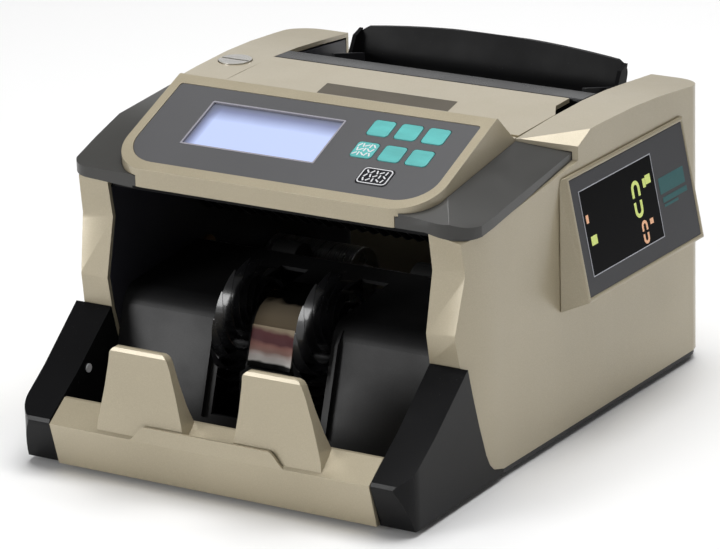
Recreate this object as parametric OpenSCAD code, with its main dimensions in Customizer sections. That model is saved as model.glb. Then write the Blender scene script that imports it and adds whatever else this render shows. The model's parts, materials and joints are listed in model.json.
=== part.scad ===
// Banknote counting machine: gold and black casing, note hopper on top at the rear,
// open stacker with two vaned wheels at the front, sloping control panel, and a second
// display on the right-hand side.
// Inside the modules X runs to the right from the centre plane, Y runs rearwards from
// the front of the sill and Z runs up from the surface that the feet stand on.

/* [Casing] */
// Half of the clear width between the side frames
half_in = 98; // [97.5:0.1:98.5]
// Half width of the casing at its front
half_front = 119.7; // [119:0.1:121]
// How much further out each side stands at the rear
flare = 11.8; // [9:0.1:13]
// Depth from the front of the sill to the rear face
depth = 318; // [318:1:322]
// Thickness of the moulded walls
wall = 2.5; // [2.2:0.1:2.8]
// Height of the rubber feet
foot_h = 3; // [2.5:0.5:4]

/* [Control panel] */
// Slope of the control panel in degrees
panel_slope = 21.1; // [20:0.1:22]
// Width and height of the six square keys
key_size = 13; // [11:0.5:13.5]
// Width of the start key
start_w = 18.5; // [14:0.5:20]
// Gap round each key
key_gap = 0.25; // [0.2:0.05:0.4]
// Width of the liquid crystal window
lcd_w = 83; // [70:1:84]
// Height of the liquid crystal window
lcd_h = 38; // [30:1:40]

/* [Stacking wheels] */
// Radius over the tips of the vanes
impeller_r = 38; // [34:1:38]
// Vanes on each wheel
vane_count = 14; // [10:1:16]
// Width of each wheel
impeller_w = 13; // [8:1:14]
// Thickness of a vane
vane_t = 1.3; // [1:0.1:1.6]

/* [Rollers] */
// Radius of the feed rollers
feed_r = 16; // [14:0.5:16]
// Radius of the pick-up rollers
pickup_r = 13; // [12:0.5:13]
// Radius of the delivery rollers
delivery_r = 11; // [9:0.5:11]

/* [Side display] */
// Length of the display plate
side_w = 120; // [110:1:122]
// Height of the display plate
side_h = 64.3; // [60:0.1:66]
// Lean of the display plate in degrees
side_tilt = 11.5; // [9:0.1:12]

/* [Hidden] */
$fn = 48;

gap = 0.3;                      // between separate casing pieces
gold = [0.68, 0.62, 0.50];
gloss_black = [0.06, 0.06, 0.07];
matt_black = [0.12, 0.12, 0.13];
dark_grey = [0.33, 0.33, 0.36];
teal = [0.33, 0.75, 0.75];
steel = [0.72, 0.72, 0.74];
rubber = [0.10, 0.10, 0.10];
board_green = [0.10, 0.35, 0.18];

tray_top = foot_h + 3;
side_y0 = 65;                   // where the side wall starts to flare
side_y1 = 298;                  // where it reaches its full width
front_bend = 117;               // radius of the soft bend of each side towards the front
bend_y = 100;                   // where that bend starts
rear_round = 17;                // radius of the upright rear corners
flare_angle = atan(flare / (side_y1 - side_y0));
half_rear = half_front + flare;
lid_z = 167;                    // level of the top cover
lid_y0 = 158.6;
lid_y1 = 234.6;

// control panel: front edge, ridge and rows of keys, measured along the slope
panel_y = 63.4;
panel_z = 153.5;
panel_len = 82.2;
panel_half = 98;
panel_round = 24;
strip_z = 143.4;                // underside of the panel's front strip
strip_half = 79;
overlay_half = 92.5;
overlay_s0 = 7.2;
overlay_s1 = 74.3;
overlay_t = 0.8;
overlay_sink = 0.4;             // how far the overlay lies below its rim
key_cols = [39.4, 55.9, 72.3];
key_rows = [61.2, 42.4];
start_s = 23;
start_h = 13.6;
lcd_x = -24.4;
lcd_s = 44.8;
ridge_y = panel_y + panel_len * cos(panel_slope);
ridge_z = panel_z + panel_len * sin(panel_slope);

// shafts: [y, z]
impeller_at = [86, 66];
delivery_at = [160, 77];
feed_at = [282, 110];
pickup_at = [268, 137.6];
feed_motor_at = [230, 45];
stacker_motor_at = [150, 38];
shaft_r = 4;
run_gap = 0.05;                 // running clearance on a radius
bush_r = 7;
frame_t = 2;
pulley_x = 104;                 // inner face of the pulleys
pulley_w = 7;
belt_t = 1.5;
belt_gap = 0.2;
impeller_pulley_r = 13;
delivery_pulley_r = 9;
feed_pulley_r = 14;
pickup_pulley_r = 11;
motor_pulley_r = 7;
motor_r = 18;
motor_shaft_r = 2.5;
impeller_x = 25;                // centre of each stacking wheel
knob_at = [113.5, 220];
knob_r = 9.5;
hinge_at = [161.2, 164.5];      // axis of the top cover
hinge_r = 1.2;
bead_r = 2.3;

// side display: lower front corner of its plate
side_at = [half_front + flare * (164 - side_y0) / (side_y1 - side_y0) + 14.5, 164, 82.5];
side_plate_t = 1;
side_rim = 2.2;

// the origin is at the middle of the base of the whole machine
reach_right = side_at.x + (side_w + side_rim) * sin(flare_angle)
    + (side_plate_t / 2 * cos(side_tilt) + side_rim * sin(side_tilt)) * cos(flare_angle);
origin_x = (reach_right - half_rear) / 2;
origin_y = depth / 2;

// ---- helpers -------------------------------------------------------------------------

module machine() translate([-origin_x, -origin_y, 0]) children();

// draws a [y, z] outline as a solid from x0 to x1
module across(x0, x1) translate([x0, 0, 0]) rotate([90, 0, 90]) linear_extrude(x1 - x0) children();

// draws an [x, z] outline as a solid from y0 to y1
module upright(y0, y1) translate([0, y1, 0]) rotate([90, 0, 0]) linear_extrude(y1 - y0) children();

// draws the child on the left-hand side for side = -1, on the right-hand side for side = 1
module on_side(side) {
    if (side > 0) children();
    else mirror([1, 0, 0]) children();
}

// a round bar along X, centred on at = [y, z]
module bar(at, x0, x1, r) translate([x0, at.x, at.y]) rotate([0, 90, 0]) cylinder(h = x1 - x0, r = r);

// everything on the side of a plane that its normal points to
module beyond(point, normal, size = 500)
    translate(point)
        rotate([0, acos(normal.z / norm(normal)), atan2(normal.y, normal.x)])
            translate([-size / 2, -size / 2, 0]) cube(size);

// a surface z = point.z + slope_x (x - point.x) + slope_y (y - point.y): all that lies above
module above(point, slope_x, slope_y) beyond(point, [-slope_x, -slope_y, 1]);

function arc(cx, cy, r, a0, a1, n = 10) =
    [for (i = [0:n]) let (a = a0 + (a1 - a0) * i / n) [cx + r * cos(a), cy + r * sin(a)]];

function unit(v) = v / norm(v);
function left_of(v) = [-v.y, v.x];
function path_normal(path, i) =
    let (a = path[max(i - 1, 0)], b = path[min(i + 1, len(path) - 1)]) left_of(unit(b - a));
// a strip of thickness t along a path, on its left-hand side
function ribbon(path, t) =
    concat(path, [for (i = [len(path) - 1:-1:0]) path[i] + t * path_normal(path, i)]);

function rounded(w, h, r, n = 6) = concat(
    arc(w / 2 - r, -h / 2 + r, r, -90, 0, n), arc(w / 2 - r, h / 2 - r, r, 0, 90, n),
    arc(-w / 2 + r, h / 2 - r, r, 90, 180, n), arc(-w / 2 + r, -h / 2 + r, r, 180, 270, n));

function side_x(y) = half_front + flare * (y - side_y0) / (side_y1 - side_y0);

// ---- base ----------------------------------------------------------------------------

module base_tray() color(matt_black) machine() {
    inset = 0.6;
    step_y = 99;
    rear_y = depth - 1;
    outline = concat(
        [[half_in - gap, 17.4], [half_in - gap, step_y], [side_x(step_y) - inset, step_y]],
        arc(side_x(side_y1) - rear_round - inset, rear_y - rear_round, rear_round, 0, 90, 8));
    translate([0, 0, foot_h]) linear_extrude(tray_top - foot_h)
        polygon(concat(outline, [for (i = [len(outline) - 1:-1:0]) [-outline[i].x, outline[i].y]]));
    for (side = [-1, 1]) translate([side * 89 - 1.5, 60, tray_top - 0.5]) cube([3, 240, 2]);
}

module rubber_feet() color(rubber) machine()
    for (x = [-1, 1], spot = [[84, 32], [108, 288]]) translate([x * spot.x, spot.y, 0])
        rotate_extrude() polygon([[0, 0], [7.2, 0], [8, 0.8], [8.4, foot_h], [0, foot_h]]);

// ---- stacker front -------------------------------------------------------------------

sill_slope = (37.5 - 27.6) / 15;
lip_top = 36;

module front_sill() color(gold) machine() {
    lip_curve = 10;
    difference() {
        across(-half_in + gap, half_in - gap)
            polygon([[7, foot_h], [0, 27.6], [15, 37.5], [17, 37.5], [17, foot_h]]);
        across(-half_in + gap + wall, half_in - gap - wall)
            polygon([[9.8, foot_h - 1], [3, 26.2], [14.4, 33.8], [14.4, foot_h - 1]]);
    }
    steps = 8;
    s_curve = [for (i = [0:steps]) let (u = i / steps)
        [48 - lip_curve * u, 27.6 + (lip_top - 27.6) * u * u * (3 - 2 * u)]];
    lip = concat([[48, 27.1]], s_curve);
    upright(0, 1.6)
        polygon(concat(lip, [for (i = [len(lip) - 1:-1:0]) [-lip[i].x, lip[i].y]]));
}

module stop_finger(side) color(gold) machine() on_side(side) {
    foot_z = 24;
    top_z = 77.6;
    front = 2;
    face = concat([[69.1, foot_z], [68.2, 34]], arc(53, top_z - 6, 6, 20, 90, 5),
        arc(28.5, top_z - 6, 6, 90, 160, 5), [[18.5, 50], [15.6, 36], [14.5, foot_z]]);
    intersection() {
        upright(0, 20) polygon(face);
        across(0, 100) polygon([[front, 27.6 + front * sill_slope + 0.02], [front + 1, 40],
            [front + 1.5, 54], [front + 1, 68], [front, 75], [front + 0.8, 77], [front + 2, top_z],
            [front + 4.2, 77.2], [front + 5, 76], [9.2, 60], [11.8, 47], [15, 37.52]]);
    }
}

module left_stop_finger() stop_finger(-1);
module right_stop_finger() stop_finger(1);

// ---- casing sides --------------------------------------------------------------------

// rearward edge of the black cheek, which is also the lower front edge of the housing
cheek_rear = [[64, 73], [68.5, 57], [74.5, 38], [81, 20], [84.5, 13.5], [89, 9], [98.6, 6.2]];

module side_plan(t, inner) {
    polygon(concat([[inner, 56]],
        arc(side_x(bend_y) - front_bend, bend_y, front_bend - t, -21, 0, 12),
        arc(half_rear - rear_round, depth - rear_round, rear_round - t, 0, 90, 12),
        [[inner, depth - t]]));
}

module cheek(side) color(gloss_black) machine() on_side(side) {
    corner = 15;
    difference() {
        intersection() {
            across(half_in + gap, half_front + flare) polygon(concat(
                [[9.5, foot_h], [1, 25.5], [0.6, 27.6], [1.6, 29.6], [30, 47.6], [63.6, 72.9]],
                [for (p = cheek_rear) [p.x - gap, p.y - 0.2]], [[96, foot_h]]));
            linear_extrude(90) polygon(concat([[half_in, -1]],
                arc(half_front - corner, corner - 1, corner, -90, 0, 12),
                [[side_x(100), 100], [half_in, 100]]));
        }
        intersection() {
            across(half_in + wall, 140)
                polygon([[13, foot_h - 1], [4.5, 26.5], [60.5, 67.5], [77, 17], [92, foot_h - 1]]);
            linear_extrude(90) polygon(concat([[half_in, 3]],
                arc(half_front - corner, corner - 1, corner - wall, -90, 0, 8),
                [[side_x(100) - wall, 100], [half_in, 100]]));
        }
    }
}

module left_cheek() cheek(-1);
module right_cheek() cheek(1);

// the housing's silhouette from the side, drawn in by t
function housing_profile(t) = concat(
    [for (i = [len(cheek_rear) - 1:-1:0]) [cheek_rear[i].x + t, cheek_rear[i].y - (t > 0 ? 1 : 0)]],
    [[61 + t, 90], [69 + t, 122], [65.5 + t, 143]],
    [[65.5 + t, lid_z - 1 - t], [158, lid_z - 0.6 - t], [200, lid_z - t], [235, lid_z - 0.4 - t],
     [262, lid_z - 2 - t], [288, lid_z - 4.6 - t], [depth, lid_z - 8 - t],
     [depth - t, tray_top - (t > 0 ? 1 : -0.2)]]);

shelf_top_at = [half_in, 158, lid_z - 1.6];
shelf_front_at = [half_in, 64, 149.6];
shelf_under_at = [half_in, 66, strip_z];
// slopes of those three faces, outwards and rearwards; the right shelf falls towards its outer edge
function top_slopes(side) = side < 0 ? [0, 0.045] : [-0.4, 0.125];
function front_slopes(side) = side < 0 ? [0, 0.27] : [-0.1, 0.3];
function under_slopes(side) = side < 0 ? [0.06, 0.1405] : [-0.219, 0.1405];
shelf_rear = [[half_in - 1, 158.4], [half_front + 3, 176]];

module shelf_over(side, lift) intersection() {
    above(shelf_under_at + [0, 0, lift], under_slopes(side).x, under_slopes(side).y);
    linear_extrude(260) polygon([[70, 40], [150, 40], [150, 195], shelf_rear[1], shelf_rear[0]]);
}

module housing_body(side, t, inner) difference() {
    intersection() {
        linear_extrude(220) side_plan(t, inner);
        across(inner, 160) polygon(housing_profile(t));
    }
    // the falling outer corner behind the right shelf
    if (side > 0) intersection() {
        above([half_in, 158, lid_z - 0.6 - t * 1.3], -0.57, 0.496);
        linear_extrude(260) polygon([[70, 158.4], shelf_rear[0], shelf_rear[1], [150, 195], [150, 330], [70, 330]]);
    }
    shelf_over(side, -gap - t);
}

module housing(side) difference() {
    housing_body(side, 0, half_in);
    housing_body(side, wall, half_in - 5);
}

module left_housing() color(gold) machine() on_side(-1) difference() {
    housing(-1);
    translate([knob_at.x, knob_at.y, 150]) cylinder(h = 30, r = knob_r + 0.4);
}

module right_housing() color(gold) machine() housing(1);

module shelf(side) color(gloss_black) machine() on_side(side) {
    corner = side < 0 ? 12 : 20;
    over = 1.2;
    difference() {
        intersection() {
            shelf_over(side, 0);
            linear_extrude(260) polygon(concat([[half_in + gap, 159]],
                arc(panel_half - panel_round, panel_y + panel_round, panel_round + gap, 0, -72.6, 10),
                arc(side_x(90) + over - corner, 64.2 + corner, corner, -90, 0, 12),
                [[shelf_rear[1].x, shelf_rear[1].y - 0.6]]));
        }
        above(shelf_top_at, top_slopes(side).x, top_slopes(side).y);
        above(shelf_front_at, front_slopes(side).x, front_slopes(side).y);
        beyond([side_x(90) + over, 90, 150], [1, -tan(flare_angle), 0]);
    }
    // tongue under the end of the control panel
    translate([strip_half + gap, 64.2, strip_z]) cube([half_in - strip_half - 2 * gap, 15.6, 5.8]);
    translate([half_in - 1, 64.2, strip_z + 2.3]) cube([1.6, 15.6, 3.5]);
}

module left_shelf() shelf(-1);
module right_shelf() shelf(1);

module rear_cover() color(gold) machine() {
    y0 = depth - 4.6;
    difference() {
        translate([-half_in + gap, y0, tray_top + 0.2])
            cube([2 * (half_in - gap), wall, 140]);
        for (row = [0, 1], i = [-8:8])
            translate([i * 9 - 1.5, y0 - 1, 92 + row * 24]) cube([3, 5, 16]);
        translate([switch_x - 10, y0 - 1, inlet_z - 10.9]) cube([inlet_x - switch_x + 24.5, 5, 21.8]);
    }
    for (side = [-1, 1], z = [20, 134])
        translate([side * 88, y0 + wall, z]) rotate([-90, 0, 0]) cylinder(h = 0.5, r = 3.2);
}

// ---- control panel -------------------------------------------------------------------

// places the child on the sloping face: x across, s up the slope, h out of the face
module on_panel(x, s, h)
    translate([x, panel_y + s * cos(panel_slope), panel_z + s * sin(panel_slope)])
        rotate([panel_slope, 0, 0]) translate([0, 0, h]) children();

module overlay_outline(grow) {
    half = overlay_half + grow;
    s0 = overlay_s0 - grow;
    s1 = overlay_s1 + grow;
    big = panel_round - 4;
    small = 2;
    polygon(concat(arc(half - big, s0 + big, big, -90, 0, 10), arc(half - small, s1 - small, small, 0, 90, 4),
        arc(-half + small, s1 - small, small, 90, 180, 4), arc(-half + big, s0 + big, big, 180, 270, 10)));
}

module key_cuts(depth_in) {
    side = key_size + 2 * key_gap;
    for (x = key_cols, s = key_rows) on_panel(x, s, -depth_in)
        linear_extrude(depth_in + 2) polygon(rounded(side, side, 2.4));
    on_panel(key_cols[1], start_s, -depth_in)
        linear_extrude(depth_in + 2)
            polygon(rounded(start_w + 2 * key_gap, start_h + 2 * key_gap, 2.6));
}

module bezel_body(t) intersection() {
    linear_extrude(220) polygon(concat(
        arc(panel_half - panel_round, panel_y + panel_round, panel_round - t, -90, 0, 14),
        [[panel_half - t, lid_y0 - gap - t], [-panel_half + t, lid_y0 - gap - t]],
        arc(-panel_half + panel_round, panel_y + panel_round, panel_round - t, 180, 270, 14)));
    across(-panel_half, panel_half) polygon([[panel_y - 1, strip_z - (t > 0 ? 1 : 0)],
        [panel_y - 1, panel_z - tan(panel_slope) - t / cos(panel_slope)],
        [ridge_y - 0.8, ridge_z - 0.4 - t * 1.1], [ridge_y + 0.8, ridge_z - 0.4 - t * 1.1],
        [lid_y0 - gap - t * 0.4, lid_z - 0.2 - t], [lid_y0 - gap, strip_z - (t > 0 ? 1 : 0)]]);
}

module control_bezel() color(gold) machine() {
    difference() {
        bezel_body(0);
        bezel_body(wall);
        for (side = [-1, 1]) on_side(side) translate([strip_half, panel_y - 2, strip_z - 2])
            cube([40, 18.6, 8.2]);
        on_panel(0, 0, -overlay_t - overlay_sink) linear_extrude(5) overlay_outline(0.15);
        on_panel(lcd_x, lcd_s, -5) linear_extrude(8) square([lcd_w - 4, lcd_h - 4], center = true);
        on_panel(lcd_x, lcd_s, -2) linear_extrude(4) square([lcd_w, lcd_h], center = true);
        key_cuts(5);
    }
    // ears that carry the hinge of the top cover
    for (side = [-1, 1]) on_side(side) difference() {
        across(92, panel_half - gap) polygon(concat([[lid_y0 - gap - 1, hinge_at.y - 2.2]],
            arc(hinge_at.x, hinge_at.y, 2.2, -90, 90, 10), [[lid_y0 - gap - 1, hinge_at.y + 2.2]]));
        bar(hinge_at, 91, panel_half + 1, hinge_r + run_gap);
    }
}

module control_overlay() color(dark_grey) machine() difference() {
    on_panel(0, 0, -overlay_t - overlay_sink) linear_extrude(overlay_t) overlay_outline(0);
    on_panel(lcd_x, lcd_s, -3) linear_extrude(5) square([lcd_w, lcd_h], center = true);
    key_cuts(3);
}

module lcd_window() color([0.75, 0.82, 0.98]) machine() on_panel(lcd_x, lcd_s, -2)
    translate([-lcd_w / 2 + 0.1, -lcd_h / 2 + 0.1, 0]) cube([lcd_w - 0.2, lcd_h - 0.2, 1.4]);

module control_board() color(board_green) machine() {
    on_panel(0, 0, -9.2) translate([-80, 12, 0]) cube([166, 60, 1.6]);
    on_panel(lcd_x, lcd_s, -7.7) translate([-lcd_w / 2 + 2.2, -lcd_h / 2 + 2.2, 0])
        cube([lcd_w - 4.4, lcd_h - 4.4, 5.2]);
    for (x = key_cols, s = key_rows) on_panel(x, s, -7.7) cylinder(h = 1.2, r = 2.5);
    on_panel(key_cols[1], start_s, -7.7) cylinder(h = 1.2, r = 2.5);
}

// a key cap with the rim that keeps it behind the panel
module key(x, s, w, h, tint) color(tint) machine() on_panel(x, s, 0) {
    translate([0, 0, -4.4]) linear_extrude(4.3) polygon(rounded(w, h, 2.2));
    translate([0, 0, -5.3]) linear_extrude(1) polygon(rounded(w + 2.4, h + 2.4, 2.4));
}

module key_top_left() key(key_cols[0], key_rows[0], key_size, key_size, teal);
module key_top_middle() key(key_cols[1], key_rows[0], key_size, key_size, teal);
module key_top_right() key(key_cols[2], key_rows[0], key_size, key_size, teal);
module key_low_left() key(key_cols[0], key_rows[1], key_size, key_size, teal);
module key_low_middle() key(key_cols[1], key_rows[1], key_size, key_size, teal);
module key_low_right() key(key_cols[2], key_rows[1], key_size, key_size, teal);
module start_key() key(key_cols[1], start_s, start_w, start_h, gloss_black);

// ---- top cover and hopper ------------------------------------------------------------

notch_x = 90.5;                 // finger notch at the rear right corner of the cover
notch_y = 205;

module top_cover() color(gold) machine() {
    lid_half = half_in - gap - 0.1;
    difference() {
        union() {
            translate([0, 0, lid_z - wall]) linear_extrude(wall) polygon([[-lid_half, hinge_at.x + bead_r + gap],
                [lid_half, hinge_at.x + bead_r + gap], [lid_half, notch_y], [notch_x, notch_y + 14],
                [notch_x, lid_y1], [-lid_half, lid_y1]]);
            across(-91.5, 91.5) polygon([[hinge_at.x, lid_z - wall], [hinge_at.x, hinge_at.y + bead_r],
                [hinge_at.x + 1, lid_z], [hinge_at.x + 4, lid_z], [hinge_at.x + 4, lid_z - wall]]);
            bar(hinge_at, -91.5, 91.5, bead_r);
        }
        // finger recess under the free edge
        across(-30, 30) polygon([[lid_y1 - 6, lid_z - wall - 1], [lid_y1 + 1, lid_z - wall - 1],
            [lid_y1 + 1, lid_z - 1.4]]);
    }
    bar(hinge_at, -panel_half + gap + 0.2, panel_half - gap - 0.2, hinge_r);
}

ramp_top = [258, 162.8];        // the hopper's front ramp, which the notes slide down
ramp_foot = [296, 128.2];
ramp_len = norm(ramp_foot - ramp_top);
// the point at distance t down the ramp and height h over it
function on_ramp(t, h) = let (along = unit(ramp_foot - ramp_top)) ramp_top + t * along + h * left_of(along);
roller_w = 13;
roller_x = 31;                  // centre of the pick-up and feed rollers

module feed_plate() color(gloss_black) machine() {
    skin = 2.2;
    half = half_in - gap;
    difference() {
        across(-half, half) polygon([[lid_y1 + 0.5, 156], [lid_y1 + 0.5, lid_z - 1], [236, lid_z - 0.2],
            [252, lid_z - 1.2], [255.6, lid_z - 2.4], ramp_top, ramp_foot, on_ramp(ramp_len, -skin),
            on_ramp(0.6, -skin), [252, lid_z - 1.4 - skin], [lid_y1 + 2.6, lid_z - 0.6 - skin],
            [lid_y1 + 2.6, 156]]);
        for (side = [-1, 1]) translate([side * roller_x - roller_w / 2 - 1.5, 262, 120])
            cube([roller_w + 3, 26.5, 45]);
    }
    // shelf that closes the finger notch of the cover
    translate([notch_x + 0.4, notch_y + 1, lid_z - 8]) cube([half - notch_x - 0.4, 30.3, 3]);
}

module back_plate() color(gloss_black) machine() {
    skin = 2.4;
    half = 86.5;
    low = [302.4, 127];
    high = [313.4, 171.6];
    rise = unit(high - low);
    crown = [for (i = [-12:12]) let (u = i / 12) [half * u * 0.93, 171.2 - 4.6 * u * u]];
    sides = concat([[-half, 127], [-half, 160]],
        arc(-half + 7, 159, 7, 180, 118, 5), crown, arc(half - 7, 159, 7, 62, 0, 5), [[half, 127]]);
    intersection() {
        across(-half, half) polygon(ribbon([low, [306.6, 148], [307.8, 156], high], -skin));
        upright(290, 320) polygon(sides);
    }
    for (side = [-1, 1]) on_side(side) across(half - skin, half)
        polygon([[303, 142], [306.2, 146], [308, 156], [311.9, 165.4], [304, 163], [297, 152], [297.5, 145]]);
}

guide_x = 79;                   // inner face of each note guide at rest
module note_guide(side) color(matt_black) machine() on_side(side) {
    across(guide_x, guide_x + 2.2)
        polygon([on_ramp(ramp_len - 1, 2.6), on_ramp(14, 0.6), on_ramp(14, 3), [271, 161.4], [304, 153],
            [304.6, 147], [300.8, 130.5]]);
    across(guide_x - 12, guide_x + 0.5)
        polygon([on_ramp(31, 0.6), on_ramp(47, 0.6), on_ramp(47, 2.4), on_ramp(31, 2.4)]);
}
module left_note_guide() note_guide(-1);
module right_note_guide() note_guide(1);

// ---- frames and note path ------------------------------------------------------------

module frame_plate(side) color(matt_black) machine() on_side(side) difference() {
    t = wall + 0.5;
    across(half_in, half_in + frame_t) polygon(concat(
        [for (i = [len(cheek_rear) - 1:-1:0]) [cheek_rear[i].x + t, max(cheek_rear[i].y, tray_top)]],
        [[61 + t, 90], [69 + t, 122], [66.6 + t, 138.6], [158, 151], [162, 151.6],
         [162.4, lid_z - 5.6], [200, lid_z - 3.8], [235, lid_z - 4], [262, lid_z - 5.6], [288, lid_z - 8.2],
         [depth - t, lid_z - 11.2], [depth - t, tray_top]]));
    for (at = [impeller_at, delivery_at, feed_at, pickup_at]) bar(at, half_in - 1, half_in + 5, bush_r);
    bar(side < 0 ? feed_motor_at : stacker_motor_at, half_in - 1, half_in + 5, 6);
}

module left_frame() frame_plate(-1);
module right_frame() frame_plate(1);

plate_path = concat([[19.5, 21.6], [20.4, 19.6], [46, 12.4], [52, 13], [55.4, 17]],
    [[67, 50.4], [74.2, 72]], arc(87.6, 66.6, 14.4, 158, 96, 8), [[150, 85]]);

module stacker_plate() color(dark_grey) machine() {
    skin = 2;
    half = half_in - gap;
    slot = impeller_w + 4;
    difference() {
        union() {
            across(-half, half) polygon(ribbon(plate_path, -skin));
            // raised block between the wheels, under the deflector
            across(-13, 13) polygon([[58, 21], [52.6, 23], [56, 52], [66.2, 52.6], [62, 36], [57.6, 24]]);
        }
        for (side = [-1, 1]) translate([side * impeller_x - slot / 2, 42, 24]) cube([slot, 92, 80]);
    }
    // raised edges beside the wheel slots
    for (side = [-1, 1]) on_side(side) across(impeller_x + slot / 2 + 4, impeller_x + slot / 2 + 5.6)
        polygon([[57.8, 22], [54.4, 23.4], [64, 51.6], [70.4, 70.6], [76.4, 77], [79, 76], [75, 70], [68, 51]]);
}

module note_deflector() color([0.85, 0.83, 0.78]) machine() {
    outer = [for (p = concat([[63.6, 53.4], [70.8, 74.6]], arc(87.6, 66.6, 17.6, 156, 100, 8), [[112, 85.2]])) p];
    across(-13.2, 13.2) polygon(ribbon(outer, -1.2));
}

module guide_comb() color(matt_black) machine() {
    half = half_in - gap;
    translate([-half, 68.8, 139.8]) cube([2 * half, 86, 2]);
    for (i = [-12:12]) across(i * 7 - 0.7, i * 7 + 0.7)
        polygon([[118, 140], [126, 118], [140, 108], [152, 106], [152, 140]]);
}

// ---- shafts, rollers and wheels ------------------------------------------------------

// steel shaft in two bearings, long enough for a pulley at drive_side
module shaft(at, drive_side) color(steel) machine() on_side(drive_side) {
    bar(at, -half_in - 3, pulley_x + pulley_w + 1.5, shaft_r);
}

module shaft_bushes() color(steel) machine()
    for (side = [-1, 1], at = [impeller_at, delivery_at, feed_at, pickup_at]) on_side(side) difference() {
        bar(at, half_in - 1.5, half_in + frame_t + 1.5, bush_r);
        bar(at, half_in - 2, half_in + frame_t + 2, shaft_r + run_gap);
    }

module roller_pair(at, r, x, w) color(rubber) machine() for (side = [-1, 1]) difference() {
    bar(at, side * x - w / 2, side * x + w / 2, r);
    bar(at, side * x - w, side * x + w, shaft_r);
}

// flanged belt pulley
module pulley(at, r, drive_side) on_side(drive_side) {
    flange_w = 0.8;
    bar(at, pulley_x + flange_w, pulley_x + pulley_w - flange_w, r);
    bar(at, pulley_x, pulley_x + flange_w, r + 1);
    bar(at, pulley_x + pulley_w - flange_w, pulley_x + pulley_w, r + 1);
}

// the same, bored to sit on its shaft
module shaft_pulley(at, r, drive_side) color(steel) machine() difference() {
    pulley(at, r, drive_side);
    on_side(drive_side) bar(at, pulley_x - 1, pulley_x + pulley_w + 1, shaft_r);
}

module belt(ats, rs, drive_side) color(rubber) machine() on_side(drive_side)
    across(pulley_x + 1.4, pulley_x + pulley_w - 1.4) difference() {
        hull() for (i = [0:len(ats) - 1]) translate(ats[i]) circle(r = rs[i] + belt_gap + belt_t);
        hull() for (i = [0:len(ats) - 1]) translate(ats[i]) circle(r = rs[i] + belt_gap);
    }

module impeller_shaft() shaft(impeller_at, 1);
module delivery_shaft() shaft(delivery_at, 1);
module feed_shaft() shaft(feed_at, -1);
module pickup_shaft() shaft(pickup_at, -1);
module delivery_rollers() roller_pair(delivery_at, delivery_r, 44, 16);
module feed_rollers() roller_pair(feed_at, feed_r, roller_x, 14);
module pickup_rollers() roller_pair(pickup_at, pickup_r, roller_x, roller_w);
module impeller_pulley() shaft_pulley(impeller_at, impeller_pulley_r, 1);
module delivery_pulley() shaft_pulley(delivery_at, delivery_pulley_r, 1);
module feed_pulley() shaft_pulley(feed_at, feed_pulley_r, -1);
module pickup_pulley() shaft_pulley(pickup_at, pickup_pulley_r, -1);

// a vane leaves the hub steeply and sweeps back as it nears the tip
function vane_path(first) = [for (i = [0:9])
    let (u = i / 9, r = 8.4 + (impeller_r - 8.4) * u, a = first - 62 * u * u) [r * cos(a), r * sin(a)]];

module impeller(side) color(rubber) machine()
    translate([side * impeller_x - impeller_w / 2, impeller_at.x, impeller_at.y]) difference() {
        rotate([90, 0, 90]) linear_extrude(impeller_w) union() {
            circle(r = 10);
            for (i = [0:vane_count - 1]) polygon(ribbon(vane_path(360 / vane_count * i), vane_t));
        }
        translate([-1, 0, 0]) rotate([0, 90, 0]) cylinder(h = impeller_w + 2, r = shaft_r);
    }

module left_impeller() impeller(-1);
module right_impeller() impeller(1);

// ---- motors and belts ----------------------------------------------------------------

module motor(at, drive_side) color(steel) machine() on_side(drive_side) difference() {
    union() {
        bar(at, half_in - 58, half_in - gap, motor_r);
        bar(at, half_in - gap, half_in + 1.6, 5.8);
        bar(at, half_in - 62, half_in - 58, 8);
    }
    bar(at, half_in - 20, half_in + 3, motor_shaft_r + run_gap);
}

module motor_pulley(at, drive_side) color(steel) machine() {
    pulley(at, motor_pulley_r, drive_side);
    on_side(drive_side) bar(at, half_in - 19, pulley_x + pulley_w, motor_shaft_r);
}

module feed_motor() motor(feed_motor_at, -1);
module stacker_motor() motor(stacker_motor_at, 1);
module feed_motor_pulley() motor_pulley(feed_motor_at, -1);
module stacker_motor_pulley() motor_pulley(stacker_motor_at, 1);
module feed_belt() belt([feed_motor_at, feed_at, pickup_at],
    [motor_pulley_r, feed_pulley_r, pickup_pulley_r], -1);
module stacker_belt() belt([stacker_motor_at, delivery_at, impeller_at],
    [motor_pulley_r, delivery_pulley_r, impeller_pulley_r], 1);

// ---- note gap adjustment -------------------------------------------------------------

module thickness_knob() color(steel) machine() on_side(-1) translate([knob_at.x, knob_at.y, 0]) {
    difference() {
        translate([0, 0, lid_z - 6]) cylinder(h = 6.4, r = knob_r);
        translate([-knob_r - 1, -0.9, lid_z - 0.8]) cube([2 * knob_r + 2, 1.8, 3]);
    }
    translate([0, 0, 128]) cylinder(h = lid_z - 6 - 128, r = 3);
}

module retard_pad() color([0.35, 0.12, 0.10]) machine()
    across(-39, 39) polygon([[299.2, 102], [299.2, 119], [301.4, 121.5], [308, 121.5], [308, 100], [301, 100]]);

// ---- side display --------------------------------------------------------------------

module on_side_plate() translate(side_at) rotate([0, 0, -flare_angle]) rotate([0, -side_tilt, 0])
    children();

module side_display() color(gold) machine() difference() {
    hull() {
        on_side_plate() translate([-3, -side_rim, -side_rim])
            cube([3 + side_plate_t * 0.5, side_w + 2 * side_rim, side_h + 2 * side_rim]);
        translate([side_x(157) - 3, 157, 73.5]) cube([2, 1, 74.5]);
        translate([side_x(287) - 3, 287, 76]) cube([2, 1, 72]);
    }
    beyond([half_front, side_y0, 100] + [0.05, 0, 0], [-1, tan(flare_angle), 0]);
    on_side_plate() translate([-side_plate_t, 0, 0]) cube([10, side_w, side_h]);
}

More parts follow.
